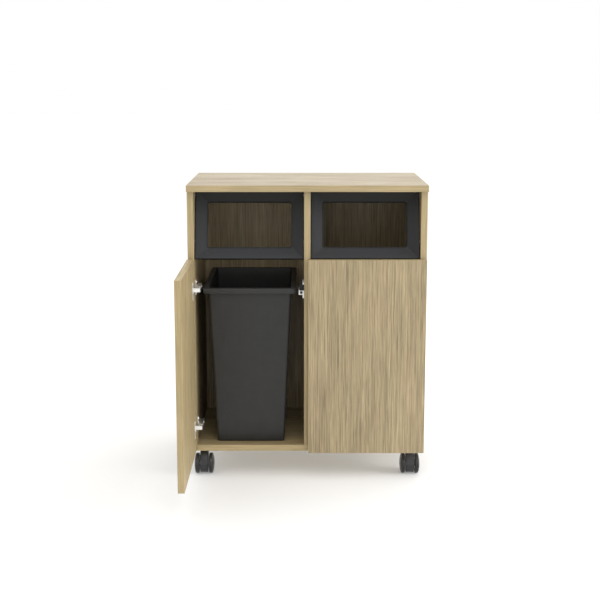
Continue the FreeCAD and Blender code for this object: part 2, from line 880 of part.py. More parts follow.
def wheel_solid():
    """Outer-side wheel: flat inner face, rounded tread and a domed outer face, turned about the axle."""
    inner = wheel_inner_face
    tread_end = inner + wheel_tread_width
    round_off = wheel_tread_round

    def point(x, r):
        return vector(x, 0, r)

    start = point(inner, 0)
    rim_low = point(inner, wheel_radius - round_off)
    slant = round_off * math.sqrt(0.5)
    rim_mid = point(inner + round_off - slant, wheel_radius - round_off + slant)
    rim_high = point(inner + round_off, wheel_radius)
    tread_out = point(tread_end, wheel_radius)
    side_mid = point(tread_end + (wheel_outer_face - tread_end) * wheel_dome[0], wheel_radius * wheel_dome[1])
    hub_rim = point(wheel_outer_face, wheel_hub_radius)
    centre = point(wheel_outer_face, 0)
    edges = [
        Part.LineSegment(start, rim_low).toShape(),
        Part.Arc(rim_low, rim_mid, rim_high).toShape(),
        Part.LineSegment(rim_high, tread_out).toShape(),
        Part.Arc(tread_out, side_mid, hub_rim).toShape(),
        Part.LineSegment(hub_rim, centre).toShape(),
        Part.LineSegment(centre, start).toShape(),
    ]
    profile = Part.Face(Part.Wire(edges))
    turned = profile.revolve(vector(0, 0, 0), vector(1, 0, 0), 360)
    if turned.Volume < 0:
        turned.reverse()
    bore_end = wheel_outer_face - axle_end_inset + axle_end_gap
    bore = across(axle_radius + axle_clearance, inner - cut_overshoot, bore_end, 0, 0)
    return moved(Part.Solid(turned.Shells[0]).cut(bore), 0, -caster_trail, wheel_axle_z)


plate_shape = caster_plate()
hood_shape = caster_hood()
axle_shape = caster_axle()
wheel_shape = wheel_solid()
for name, (hand, place_y) in caster_places.items():
    x = hand * caster_x
    save("caster_plate_" + name, moved(plate_shape, x, place_y, 0))
    save("caster_hood_" + name, moved(hood_shape, x, place_y, 0))
    save("caster_axle_" + name, moved(axle_shape, x, place_y, 0))
    outer = wheel_shape if hand > 0 else mirrored(wheel_shape)
    save("outer_wheel_" + name, moved(outer, x, place_y, 0))
    save("inner_wheel_" + name, moved(mirrored(outer), x, place_y, 0))
save("caster_screws", group(caster_screws))
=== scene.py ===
import json
import math
import bmesh
import bpy
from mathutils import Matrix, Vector


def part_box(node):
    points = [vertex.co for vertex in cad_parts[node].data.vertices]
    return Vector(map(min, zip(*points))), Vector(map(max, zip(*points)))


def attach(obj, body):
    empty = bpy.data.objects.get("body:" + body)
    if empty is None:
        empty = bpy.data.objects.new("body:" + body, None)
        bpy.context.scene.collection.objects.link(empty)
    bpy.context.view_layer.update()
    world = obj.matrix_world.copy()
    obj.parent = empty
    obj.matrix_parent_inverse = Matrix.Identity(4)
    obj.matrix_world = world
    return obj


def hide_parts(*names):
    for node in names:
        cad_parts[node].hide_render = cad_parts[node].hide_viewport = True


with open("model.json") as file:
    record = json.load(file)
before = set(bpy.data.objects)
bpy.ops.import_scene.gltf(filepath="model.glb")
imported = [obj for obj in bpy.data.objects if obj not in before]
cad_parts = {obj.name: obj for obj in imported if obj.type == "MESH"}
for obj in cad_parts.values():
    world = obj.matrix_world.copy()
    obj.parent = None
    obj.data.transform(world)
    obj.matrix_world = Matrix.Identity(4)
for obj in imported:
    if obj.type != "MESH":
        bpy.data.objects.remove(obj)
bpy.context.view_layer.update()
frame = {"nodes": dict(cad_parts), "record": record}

nodes = frame["nodes"]
scene = bpy.context.scene
places = ("front_left", "front_right", "rear_left", "rear_right")
hands = ("left", "right")
print("frame in place:", len(nodes), "nodes")


# small helpers for building materials


def startMaterial(name):
    material = bpy.data.materials.new(name)
    material.use_nodes = True
    tree = material.node_tree
    tree.nodes.clear()
    output = tree.nodes.new("ShaderNodeOutputMaterial")
    shader = tree.nodes.new("ShaderNodeBsdfPrincipled")
    tree.links.new(shader.outputs["BSDF"], output.inputs["Surface"])
    return material, tree, shader


def wire(tree, target, value):
    if isinstance(value, bpy.types.NodeSocket):
        tree.links.new(value, target)
    elif hasattr(target.default_value, "__len__") and len(target.default_value) == 4:
        target.default_value = (*value[:3], 1.0)
    else:
        target.default_value = value


def objectSpot(tree):
    return tree.nodes.new("ShaderNodeTexCoord").outputs["Object"]


def stretched(tree, vector, scale, shift=(0.0, 0.0, 0.0)):
    node = tree.nodes.new("ShaderNodeMapping")
    wire(tree, node.inputs["Vector"], vector)
    node.inputs["Scale"].default_value = scale
    node.inputs["Location"].default_value = shift
    return node.outputs["Vector"]


def noise(tree, vector, scale, detail=2.0, roughness=0.5, distortion=0.0):
    node = tree.nodes.new("ShaderNodeTexNoise")
    wire(tree, node.inputs["Vector"], vector)
    node.inputs["Scale"].default_value = scale
    node.inputs["Detail"].default_value = detail
    node.inputs["Roughness"].default_value = roughness
    node.inputs["Distortion"].default_value = distortion
    return node.outputs["Fac"]


def cells(tree, vector, scale):
    node = tree.nodes.new("ShaderNodeTexVoronoi")
    wire(tree, node.inputs["Vector"], vector)
    node.inputs["Scale"].default_value = scale
    return node.outputs["Distance"]


def remap(tree, value, low, high, newLow=0.0, newHigh=1.0):
    node = tree.nodes.new("ShaderNodeMapRange")
    wire(tree, node.inputs["Value"], value)
    node.inputs["From Min"].default_value = low
    node.inputs["From Max"].default_value = high
    node.inputs["To Min"].default_value = newLow
    node.inputs["To Max"].default_value = newHigh
    return node.outputs["Result"]


def maths(tree, operation, first, second=0.0):
    node = tree.nodes.new("ShaderNodeMath")
    node.operation = operation
    wire(tree, node.inputs[0], first)
    wire(tree, node.inputs[1], second)
    return node.outputs[0]


def mixColour(tree, share, first, second, blend="MIX"):
    node = tree.nodes.new("ShaderNodeMix")
    node.data_type = "RGBA"
    node.blend_type = blend
    wire(tree, node.inputs[0], share)
    wire(tree, node.inputs[6], first)
    wire(tree, node.inputs[7], second)
    return node.outputs[2]


def mixVector(tree, share, first, second):
    node = tree.nodes.new("ShaderNodeMix")
    node.data_type = "VECTOR"
    wire(tree, node.inputs[0], share)
    wire(tree, node.inputs[4], first)
    wire(tree, node.inputs[5], second)
    return node.outputs[1]


def raised(tree, shader, height, strength, distance):
    node = tree.nodes.new("ShaderNodeBump")
    node.inputs["Strength"].default_value = strength
    node.inputs["Distance"].default_value = distance
    wire(tree, node.inputs["Height"], height)
    tree.links.new(node.outputs["Normal"], shader.inputs["Normal"])


# light oak laminate: streaks run along each board, and narrow faces carry a glued edge band

oakFinish = {
    "light": (0.538, 0.423, 0.241),
    "dark": (0.098, 0.075, 0.038),
    "pink": (0.410, 0.285, 0.175),
    "olive": (0.315, 0.280, 0.145),
    "band": (0.425, 0.325, 0.155),
    "warmAndBounce": (0.560, 0.425, 0.175),
    "pore": (0.190, 0.145, 0.078),
    "grainStretch": 70.0,  # how much longer than wide the streaks are
    "patchStretch": 5.0,  # the same for the slow drifts of tone and hue
    "broadScale": 150.0,
    "streakScale": 620.0,
    "fineScale": 1250.0,
    "patchScale": 15.0,
    "poreScale": 1500.0,
    "broadRange": (0.35, 0.65),
    "streakRange": (0.39, 0.61),
    "fineRange": (0.33, 0.67),
    "cloudRange": (0.30, 0.70),
    "pinkRange": (0.48, 0.72),
    "oliveRange": (0.50, 0.75),
    "poreRange": (0.40, 0.28),
    "broadShare": 0.16,  # these four shares add up to one
    "streakShare": 0.42,
    "fineShare": 0.26,
    "cloudShare": 0.16,
    "pinkShare": 0.25,
    "oliveShare": 0.35,
    "poreShare": 0.35,
    "cloudShift": (3.1, 5.2, 1.4),
    "driftShift": (6.3, 1.7, 4.9),
    "driftFiner": 2.4,
    "bandWidth": 0.0012,  # how much of each broad face's border shows the band
    "bandShare": 0.45,
    "roughLow": 0.36,
    "roughHigh": 0.60,
    "gloss": 0.55,
    "reliefStrength": 0.5,
    "reliefDepth": 0.00012,
}

# grain direction on the broad faces, direction on faces that cut across it, seed, and a warmer yellow
# tint, which on door_left is painted bounce light
boards = {
    "top_panel": ("X", "Y", 1.3, 0.00),
    "side_panel_left": ("Z", "Y", 2.9, 0.10),
    "side_panel_right": ("Z", "Y", 4.1, 0.00),
    "bottom_panel": ("X", "Y", 5.7, 0.20),
    "centre_divider": ("Z", "Y", 6.2, 0.00),
    "back_panel": ("Z", "X", 7.8, 0.10),
    # door_left: its warmer tint is painted bounce light that makes the board yellower
    "door_left": ("Z", "Y", 8.4, 0.35),
    "door_right": ("Z", "X", 9.6, 0.00),
}


def bandMask(tree, spot, low, high):
    thin = min(range(3), key=lambda i: high[i] - low[i])
    parts = tree.nodes.new("ShaderNodeSeparateXYZ")
    wire(tree, parts.inputs[0], spot)
    masks = []
    for axis in range(3):
        if axis == thin:
            continue
        middle = (low[axis] + high[axis]) / 2
        reach = (high[axis] - low[axis]) / 2 - oakFinish["bandWidth"]
        away = maths(tree, "ABSOLUTE", maths(tree, "SUBTRACT", parts.outputs[axis], middle))
        masks.append(maths(tree, "GREATER_THAN", away, reach))
    return maths(tree, "MAXIMUM", masks[0], masks[1])


def drawnOut(tree, spot, axis, times, shift):
    # a pattern on this spot comes out that many times longer along the axis
    scale = [1.0, 1.0, 1.0]
    scale["XYZ".index(axis)] = 1 / times
    return stretched(tree, spot, scale, shift)


def oakMaterial(name, along, across, seed, warmthAndBounce, low, high):
    look = oakFinish
    material, tree, shader = startMaterial("light oak " + name)
    spot = objectSpot(tree)
    shift = (seed, seed * 1.7, seed * 2.3)
    facing = tree.nodes.new("ShaderNodeSeparateXYZ")
    wire(tree, facing.inputs[0], tree.nodes.new("ShaderNodeTexCoord").outputs["Normal"])
    endFace = maths(tree, "ABSOLUTE", facing.outputs["XYZ".index(along)])
    endFace = maths(tree, "GREATER_THAN", endFace, 0.7)
    alongBoard = drawnOut(tree, spot, along, look["grainStretch"], shift)
    acrossEnds = drawnOut(tree, spot, across, look["grainStretch"], shift)
    grain = mixVector(tree, endFace, alongBoard, acrossEnds)
    calm = drawnOut(tree, spot, along, look["patchStretch"], shift)
    cloudSpot = stretched(tree, calm, (1, 1, 1), look["cloudShift"])
    driftSpot = stretched(tree, calm, (1, 1, 1), look["driftShift"])

    # light and dark of the figure
    broad = remap(tree, noise(tree, grain, look["broadScale"], 3.0, 0.6, 0.1), *look["broadRange"])
    streak = remap(tree, noise(tree, grain, look["streakScale"], 3.0, 0.62, 0.15), *look["streakRange"])
    fine = remap(tree, noise(tree, grain, look["fineScale"], 2.0, 0.6), *look["fineRange"])
    cloud = noise(tree, cloudSpot, look["patchScale"], 3.0)
    tone = maths(
        tree, "ADD",
        maths(tree, "MULTIPLY", streak, look["streakShare"]),
        maths(tree, "MULTIPLY", fine, look["fineShare"]),
    )
    tone = maths(tree, "ADD", tone, maths(tree, "MULTIPLY", broad, look["broadShare"]))
    tone = maths(tree, "ADD", tone, remap(tree, cloud, *look["cloudRange"], 0.0, look["cloudShare"]))
    colour = mixColour(tree, tone, look["dark"], look["light"])
    # painted bounce light: the warmer tint, strongest on door_left, yellows the board
    colour = mixColour(tree, remap(tree, tone, 0.0, 1.0, 0.0, warmthAndBounce), colour, look["warmAndBounce"])

    # slow drifts of hue, open pores and the glued edge band
    patch = noise(tree, calm, look["patchScale"], 2.0)
    drift = noise(tree, driftSpot, look["patchScale"] * look["driftFiner"], 2.0)
    pores = noise(tree, grain, look["poreScale"], 1.0)
    pinkness = remap(tree, patch, *look["pinkRange"], 0.0, look["pinkShare"])
    oliveness = remap(tree, drift, *look["oliveRange"], 0.0, look["oliveShare"])
    openness = remap(tree, pores, *look["poreRange"], 0.0, look["poreShare"])
    colour = mixColour(tree, pinkness, colour, look["pink"])
    colour = mixColour(tree, oliveness, colour, look["olive"])
    colour = mixColour(tree, openness, colour, look["pore"])
    band = maths(tree, "MULTIPLY", bandMask(tree, spot, low, high), look["bandShare"])
    colour = mixColour(tree, band, colour, look["band"])
    wire(tree, shader.inputs["Base Color"], colour)
    rough = remap(tree, tone, 0.2, 0.8, look["roughHigh"], look["roughLow"])
    wire(tree, shader.inputs["Roughness"], rough)
    shader.inputs["Specular IOR Level"].default_value = look["gloss"]
    relief = maths(tree, "SUBTRACT", maths(tree, "MULTIPLY", fine, 0.6), openness)
    raised(tree, shader, relief, look["reliefStrength"], look["reliefDepth"])
    return material


def mouldedMaterial(name, look):
    # satin moulding: faint mottling, a fine spark-eroded grain, and a lighter colour on what faces up that
    # is part dust and part painted light from above, with painted shade on what faces down
    material, tree, shader = startMaterial(name)
    spot = objectSpot(tree)
    mottle = noise(tree, spot, look["mottleScale"], 3.0, 0.55)
    grain = cells(tree, spot, look["grainScale"])
    scuff = noise(tree, stretched(tree, spot, (1.0, 1.0, 0.12)), look["scuffScale"], 3.0, 0.6)
    colour = mixColour(tree, remap(tree, mottle, 0.3, 0.7), look["dark"], look["light"])
    # painted light and dust: the colour grows lighter the more a face turns up
    upward = tree.nodes.new("ShaderNodeSeparateXYZ")
    wire(tree, upward.inputs[0], tree.nodes.new("ShaderNodeTexCoord").outputs["Normal"])
    dustAndPaintedLight = remap(tree, upward.outputs[2], look["plainBelowFacing"], 0.8, 0.0, look["dustAndPaintedLightShare"])
    colour = mixColour(tree, dustAndPaintedLight, colour, look["dustAndPaintedLight"])
    colour = mixColour(tree, remap(tree, scuff, 0.62, 0.80, 0.0, 0.35), colour, look["worn"])
    wire(tree, shader.inputs["Base Color"], colour)
    rough = maths(tree, "ADD", remap(tree, mottle, 0.3, 0.7, -0.04, 0.04), look["rough"])
    rough = maths(tree, "ADD", rough, remap(tree, scuff, 0.6, 0.8, 0.0, 0.08))
    wire(tree, shader.inputs["Roughness"], rough)
    shader.inputs["Specular IOR Level"].default_value = look["gloss"]
    raised(tree, shader, grain, look["grainStrength"], look["grainDepth"])
    return material


def platedMaterial(name, look):
    # plated metal: hairline brushing, faint clouding of the plate and duller handled spots
    material, tree, shader = startMaterial(name)
    spot = objectSpot(tree)
    brushed = noise(tree, stretched(tree, spot, look["brush"]), 1.0, 3.0, 0.6)
    cloud = noise(tree, spot, look["cloudScale"], 2.0, 0.5)
    colour = mixColour(tree, remap(tree, brushed, 0.3, 0.7), look["dark"], look["light"])
    colour = mixColour(tree, remap(tree, cloud, 0.45, 0.75, 0.0, 0.5), colour, look["cloud"])
    wire(tree, shader.inputs["Base Color"], colour)
    shader.inputs["Metallic"].default_value = 1.0
    rough = maths(tree, "ADD", remap(tree, brushed, 0.3, 0.7, -0.05, 0.05), look["rough"])
    rough = maths(tree, "ADD", rough, remap(tree, cloud, 0.5, 0.8, 0.0, 0.12))
    wire(tree, shader.inputs["Roughness"], rough)
    raised(tree, shader, brushed, platingRelief["strength"], platingRelief["depth"])
    return material


mouldings = {
    # hopper_black: its lighter colour on what faces up is painted light, so the top border facing down
    # keeps painted shade and the bottom border looks lit
    "hopper_black": {
        "dark": (0.006, 0.006, 0.0056), "light": (0.010, 0.010, 0.0092), "worn": (0.028, 0.028, 0.029),
        "mottleScale": 40.0, "scuffScale": 55.0, "grainScale": 1500.0, "rough": 0.50, "gloss": 0.28,
        "plainBelowFacing": -0.2, "dustAndPaintedLightShare": 1.0, "dustAndPaintedLight": (0.036, 0.0375, 0.041),
        "grainStrength": 0.25, "grainDepth": 0.00008,
    },
    "bin_black": {
        "dark": (0.0165, 0.0165, 0.0165), "light": (0.0225, 0.0225, 0.022), "worn": (0.040, 0.039, 0.038),
        "mottleScale": 26.0, "scuffScale": 70.0, "grainScale": 1100.0, "rough": 0.48, "gloss": 0.42,
        "plainBelowFacing": 0.0, "dustAndPaintedLightShare": 0.4, "dustAndPaintedLight": (0.060, 0.060, 0.058),
        "grainStrength": 0.35, "grainDepth": 0.00012,
    },
    "latch_white": {
        "dark": (0.78, 0.78, 0.77), "light": (0.88, 0.88, 0.87), "worn": (0.62, 0.61, 0.58),
        "mottleScale": 90.0, "scuffScale": 160.0, "grainScale": 1800.0, "rough": 0.38, "gloss": 0.5,
        "plainBelowFacing": 0.0, "dustAndPaintedLightShare": 0.2, "dustAndPaintedLight": (0.70, 0.69, 0.66),
        "grainStrength": 0.2, "grainDepth": 0.00005,
    },
    "latch_dark": {
        "dark": (0.030, 0.030, 0.034), "light": (0.050, 0.050, 0.055), "worn": (0.10, 0.10, 0.10),
        "mottleScale": 120.0, "scuffScale": 200.0, "grainScale": 1800.0, "rough": 0.42, "gloss": 0.5,
        "plainBelowFacing": 0.0, "dustAndPaintedLightShare": 0.2, "dustAndPaintedLight": (0.10, 0.10, 0.10),
        "grainStrength": 0.25, "grainDepth": 0.00005,
    },
    "buffer_rubber": {
        "dark": (0.010, 0.010, 0.010), "light": (0.018, 0.018, 0.018), "worn": (0.045, 0.044, 0.042),
        "mottleScale": 80.0, "scuffScale": 140.0, "grainScale": 1300.0, "rough": 0.78, "gloss": 0.3,
        "plainBelowFacing": 0.0, "dustAndPaintedLightShare": 0.5, "dustAndPaintedLight": (0.06, 0.058, 0.055),
        "grainStrength": 0.5, "grainDepth": 0.0001,
    },
    "caster_grey": {
        "dark": (0.016, 0.0165, 0.0175), "light": (0.026, 0.027, 0.028), "worn": (0.06, 0.06, 0.06),
        "mottleScale": 70.0, "scuffScale": 120.0, "grainScale": 1600.0, "rough": 0.34, "gloss": 0.45,
        "plainBelowFacing": 0.0, "dustAndPaintedLightShare": 0.5, "dustAndPaintedLight": (0.085, 0.085, 0.085),
        "grainStrength": 0.2, "grainDepth": 0.00006,
    },
    "wheel_grey": {
        "dark": (0.009, 0.0093, 0.0098), "light": (0.016, 0.0165, 0.017), "worn": (0.05, 0.049, 0.047),
        "mottleScale": 80.0, "scuffScale": 150.0, "grainScale": 1500.0, "rough": 0.30, "gloss": 0.42,
        "plainBelowFacing": 0.0, "dustAndPaintedLightShare": 0.5, "dustAndPaintedLight": (0.08, 0.079, 0.077),
        "grainStrength": 0.25, "grainDepth": 0.00008,
    },
}

platings = {
    "zinc_screw": {
        "dark": (0.60, 0.60, 0.61), "light": (0.78, 0.78, 0.79), "cloud": (0.66, 0.64, 0.56),
        "brush": (900.0, 900.0, 900.0), "cloudScale": 260.0, "rough": 0.30,
    },
    "pin_steel": {
        "dark": (0.66, 0.66, 0.67), "light": (0.84, 0.84, 0.85), "cloud": (0.70, 0.70, 0.72),
        "brush": (200.0, 2400.0, 2400.0), "cloudScale": 200.0, "rough": 0.22,
    },
    "hinge_nickel": {
        "dark": (0.84, 0.83, 0.81), "light": (0.93, 0.92, 0.90), "cloud": (0.88, 0.86, 0.82),
        "brush": (1400.0, 160.0, 1400.0), "cloudScale": 60.0, "rough": 0.38,
    },
    "caster_plate_steel": {
        "dark": (0.48, 0.48, 0.49), "light": (0.64, 0.64, 0.65), "cloud": (0.56, 0.55, 0.50),
        "brush": (260.0, 2400.0, 2400.0), "cloudScale": 120.0, "rough": 0.36,
    },
    "strike_steel": {
        "dark": (0.58, 0.58, 0.59), "light": (0.74, 0.74, 0.75), "cloud": (0.64, 0.62, 0.58),
        "brush": (2200.0, 2200.0, 300.0), "cloudScale": 180.0, "rough": 0.32,
    },
}

platingRelief = {"strength": 0.12, "depth": 0.00003}

beechFinish = {
    "dark": (0.50, 0.33, 0.19), "light": (0.66, 0.48, 0.30), "fleckScale": 900.0,
    "roughLow": 0.55, "roughHigh": 0.72, "grainStrength": 0.4, "grainDepth": 0.0001,
}


def beechMaterial(name, look):
    material, tree, shader = startMaterial(name)
    spot = objectSpot(tree)
    fleck = noise(tree, stretched(tree, spot, (1.0, 1.0, 0.2)), look["fleckScale"], 3.0, 0.6)
    colour = mixColour(tree, remap(tree, fleck, 0.35, 0.65), look["dark"], look["light"])
    wire(tree, shader.inputs["Base Color"], colour)
    rough = remap(tree, fleck, 0.3, 0.7, look["roughLow"], look["roughHigh"])
    wire(tree, shader.inputs["Roughness"], rough)
    raised(tree, shader, fleck, look["grainStrength"], look["grainDepth"])
    return material


finishes = {slot: mouldedMaterial(slot, look) for slot, look in mouldings.items()}
finishes.update({slot: platedMaterial(slot, look) for slot, look in platings.items()})
finishes["dowel_beech"] = beechMaterial("dowel_beech", beechFinish)
slotOf = {row["node"]: row["material_slot"] for row in frame["record"]["subparts"]}

for nodeName, node in nodes.items():
    if nodeName in boards:
        finish = oakMaterial(nodeName, *boards[nodeName], *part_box(nodeName))
    else:
        finish = finishes[slotOf[nodeName]]
    node.data.materials.clear()
    node.data.materials.append(finish)
print("finishes made:", len(bpy.data.materials))


# small helpers for building meshes


def roundedLoop(halfWidth, halfLength, corner, steps):
    # corner points of a rounded rectangle, counter-clockwise
    points = []
    for turn, (sx, sy) in enumerate(((1, 1), (-1, 1), (-1, -1), (1, -1))):
        for step in range(steps + 1):
            angle = math.radians(90 * (turn + step / steps))
            x = sx * (halfWidth - corner) + corner * math.cos(angle)
            y = sy * (halfLength - corner) + corner * math.sin(angle)
            points.append((x, y))
    return points


def meshFromRings(name, rings, joinEnds=False):
    shape = bmesh.new()
    loops = [[shape.verts.new(point) for point in ring] for ring in rings]
    pairs = list(zip(loops, loops[1:]))
    if joinEnds:
        pairs.append((loops[-1], loops[0]))
    for first, second in pairs:
        for i in range(len(first)):
            j = (i + 1) % len(first)
            shape.faces.new((first[i], first[j], second[j], second[i]))
    if not joinEnds:
        shape.faces.new(loops[0][::-1])
        shape.faces.new(loops[-1])
    bmesh.ops.remove_doubles(shape, verts=shape.verts, dist=1e-7)
    bmesh.ops.recalc_face_normals(shape, faces=shape.faces)
    mesh = bpy.data.meshes.new(name)
    shape.to_mesh(mesh)
    shape.free()
    return mesh


def softened(nodeName, width, segments=2, sharp=30.0):
    # a merged copy of a CAD node with its sharp edges eased
    source = nodes[nodeName].data
    shape = bmesh.new()
    corners = [shape.verts.new(v.co) for v in source.vertices]
    for face in source.polygons:
        try:
            shape.faces.new([corners[i] for i in face.vertices])
        except ValueError:
            pass
    bmesh.ops.remove_doubles(shape, verts=shape.verts, dist=2e-6)
    bmesh.ops.dissolve_degenerate(shape, edges=shape.edges, dist=1e-6)
    bmesh.ops.dissolve_limit(shape, angle_limit=math.radians(1.0), verts=shape.verts, edges=shape.edges)
    limit = math.radians(sharp)
    edges = [e for e in shape.edges if len(e.link_faces) == 2 and e.calc_face_angle() > limit]
    bmesh.ops.bevel(
        shape, geom=edges, offset=width, segments=segments, profile=0.6, affect="EDGES", clamp_overlap=True
    )
    mesh = bpy.data.meshes.new(nodeName + " eased")
    shape.to_mesh(mesh)
    shape.free()
    return mesh


def addPiece(name, mesh, slot, body, *replaced, sharp=32.0):
    piece = bpy.data.objects.new(name, mesh)
    scene.collection.objects.link(piece)
    mesh.materials.clear()
    mesh.materials.append(finishes[slot])
    mesh.shade_smooth()
    mesh.set_sharp_from_angle(angle=math.radians(sharp))
    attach(piece, body)
    if replaced:
        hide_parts(*replaced)
    return piece


# bins: a tapered tub with a turned-down rim

binSizes = {
    "wall": 0.0025,
    "rimOverhang": 0.014,
    "rimHeight": 0.016,  # how far the lip hangs down
    "rimCorner": 0.013,
    "topCorner": 0.010,
    "bottomCorner": 0.009,
    "sideTaper": 0.0225,  # how far each side leans in at the foot
    "endTaper": 0.017,  # the same at the front and back
    "footRound": 0.004,
    "rimRound": 0.0022,
    "lipRound": 0.0011,
    "bendRound": 0.0015,
    "mouthSteps": ((0.0, 0.0012), (0.0004, 0.0003), (0.0016, 0.0)),  # down from the top, out from the wall
    "wallLevels": (0.2, 0.4, 0.6, 0.8, 0.94),
    "roundSteps": 4,
    "cornerSteps": 10,
}


def binMesh(name, low, high):
    size = binSizes
    centreX = (low.x + high.x) / 2
    centreY = (low.y + high.y) / 2
    rimX = (high.x - low.x) / 2
    rimY = (high.y - low.y) / 2
    topX = rimX - size["rimOverhang"]
    topY = rimY - size["rimOverhang"]
    wall = size["wall"]

    def loopAt(halfX, halfY, corner, z):
        return [
            Vector((centreX + x, centreY + y, z))
            for x, y in roundedLoop(halfX, halfY, max(corner, 0.001), size["cornerSteps"])
        ]

    def tub(z, inset):
        share = (z - low.z) / (high.z - low.z)
        corner = size["bottomCorner"] + share * (size["topCorner"] - size["bottomCorner"])
        halfX = topX - (1 - share) * size["sideTaper"] - inset
        halfY = topY - (1 - share) * size["endTaper"] - inset
        return loopAt(halfX, halfY, corner - inset, z)

    def rim(inset, z):
        return loopAt(rimX - inset, rimY - inset, size["rimCorner"] - inset, z)

    foot = size["footRound"]
    edge = size["rimRound"]
    lip = size["lipRound"]
    bend = size["bendRound"]
    steps = size["roundSteps"]
    tall = high.z - low.z
    lipZ = high.z - size["rimHeight"]
    floorZ = low.z + wall
    quarter = [math.radians(90 * step / steps) for step in range(steps + 1)]

    # outside, from the foot up to the bend under the rim
    rings = [tub(low.z, foot * 1.8), tub(low.z, foot)]
    for angle in quarter[1:]:
        rings.append(tub(low.z + foot * (1 - math.cos(angle)), foot * (1 - math.sin(angle))))
    for share in size["wallLevels"]:
        rings.append(tub(low.z + tall * share, 0))
    rings += [tub(high.z - wall - bend, 0), tub(high.z - wall, -bend)]

    # under the rim, round its lip and over its top edge
    rings += [rim(wall + bend, high.z - wall), rim(wall, high.z - wall - bend)]
    rings += [rim(wall, lipZ + lip), rim(wall - lip, lipZ), rim(lip, lipZ), rim(0, lipZ + lip)]
    for angle in quarter:
        rings.append(rim(edge * (1 - math.cos(angle)), high.z - edge + edge * math.sin(angle)))

    # inside, from the mouth down to the floor
    for down, out in size["mouthSteps"]:
        rings.append(tub(high.z - down, wall - out))
    for share in size["wallLevels"][::-1]:
        rings.append(tub(low.z + tall * share, wall))
    for angle in quarter[::-1]:
        rings.append(tub(floorZ + foot * (1 - math.cos(angle)), wall + foot * (1 - math.sin(angle))))
    rings.append(tub(floorZ, wall + foot * 1.3))
    return meshFromRings(name, rings)


for hand, rider in (("left", "bin_left"), ("right", "cabinet")):
    mesh = binMesh("tapered bin " + hand, *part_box("bin_" + hand))
    addPiece("tapered_bin_" + hand, mesh, "bin_black", rider, "bin_" + hand)
print("bins built")


# hopper frames: four sloping faces that lead in to a rounded opening, leaned back in the bay

hopperSizes = {
    "tilt": 15.0,  # degrees back from upright
    "setback": 0.010,  # lower edge, behind the front of the sides
    "border": 0.037,  # outer edge to opening
    "depth": 0.026,
    "wall": 0.003,
    "land": 0.003,  # flat strip round the front
    "funnelDepth": 0.017,
    "beadWidth": 0.003,
    "beadHeight": 0.002,
    "outerRound": 0.0012,
    "outerCorner": 0.0008,
    "landCorner": 0.001,
    "landEase": 0.0006,
    "openingCorner": 0.0060,
    "beadCorner": 0.002,
    "beadBulge": 0.0012,
    "beadLift": 0.0008,
    "beadSteps": 6,
    "cornerSteps": 6,
}


def hopperMesh(name, low, high, frontY):
    size = hopperSizes
    tilt = math.radians(size["tilt"])
    centreX = (low.x + high.x) / 2
    halfX = (high.x - low.x) / 2
    footZ = low.z + size["depth"] * math.sin(tilt)  # height of the front lower edge
    halfUp = (high.z - footZ) / math.cos(tilt) / 2
    footY = frontY + size["setback"]

    def loopAt(inset, depth, corner):
        ring = []
        for x, up in roundedLoop(halfX - inset, halfUp - inset, corner, size["cornerSteps"]):
            rise = up + halfUp
            y = footY + depth * math.cos(tilt) + rise * math.sin(tilt)
            z = footZ - depth * math.sin(tilt) + rise * math.cos(tilt)
            ring.append(Vector((centreX + x, y, z)))
        return ring

    back = size["depth"]
    ease = size["outerRound"]
    border = size["border"]
    wall = size["wall"]
    land = size["land"]
    outer = size["outerCorner"]
    small = size["landCorner"]
    corner = size["openingCorner"]
    funnel = size["funnelDepth"]
    half = size["beadWidth"] / 2
    bead = border - size["beadWidth"]
    beadFoot = funnel - size["beadHeight"] + size["beadLift"]
    beadCorner = size["beadCorner"]
    funnelAtBead = funnel * (bead - land) / (border - land)

    # outside wall and front land
    rings = [
        loopAt(0, back, outer),
        loopAt(0, ease, outer),
        loopAt(ease * 0.3, ease * 0.3, outer),
        loopAt(ease, 0, outer),
        loopAt(land - size["landEase"], 0, outer),
        loopAt(land + 0.0004, 0.0002, small),
    ]
    # sloping face down to the bead round the opening
    for share in (0.33, 0.66):
        inset = land + (bead - land) * share
        rings.append(loopAt(inset, funnelAtBead * share, small + (corner - small) * share))
    rings.append(loopAt(bead - 0.0002, funnelAtBead - 0.0001, corner + beadCorner + 0.0002))
    rings.append(loopAt(bead + 0.0001, beadFoot, corner + beadCorner))
    for step in range(1, size["beadSteps"] + 1):
        share = step / size["beadSteps"]
        angle = math.radians(180 * share)
        inset = bead + half * (1 - math.cos(angle))
        depth = beadFoot - size["beadBulge"] * math.sin(angle)
        rings.append(loopAt(inset, depth, corner + beadCorner * (1 - share)))
    # throat of the opening and the hollow back
    rings += [
        loopAt(border, back, corner),
        loopAt(border - wall, back, corner + small),
        loopAt(border - wall, funnel + wall, corner + small),
        loopAt(land + 0.004, wall + 0.002, small),
        loopAt(wall, wall + 0.001, 0.0006),
        loopAt(wall, back, 0.0006),
    ]
    return meshFromRings(name, rings, joinEnds=True)


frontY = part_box("side_panel_left")[0].y
for hand in hands:
    lowCorner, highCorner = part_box("hopper_frame_" + hand)
    mesh = hopperMesh("hopper frame " + hand, lowCorner, highCorner, frontY)
    addPiece("funnel_frame_" + hand, mesh, "hopper_black", "cabinet", "hopper_frame_" + hand, sharp=20.0)
print("hopper frames built")


# hinges, latches and casters: eased copies of their solids

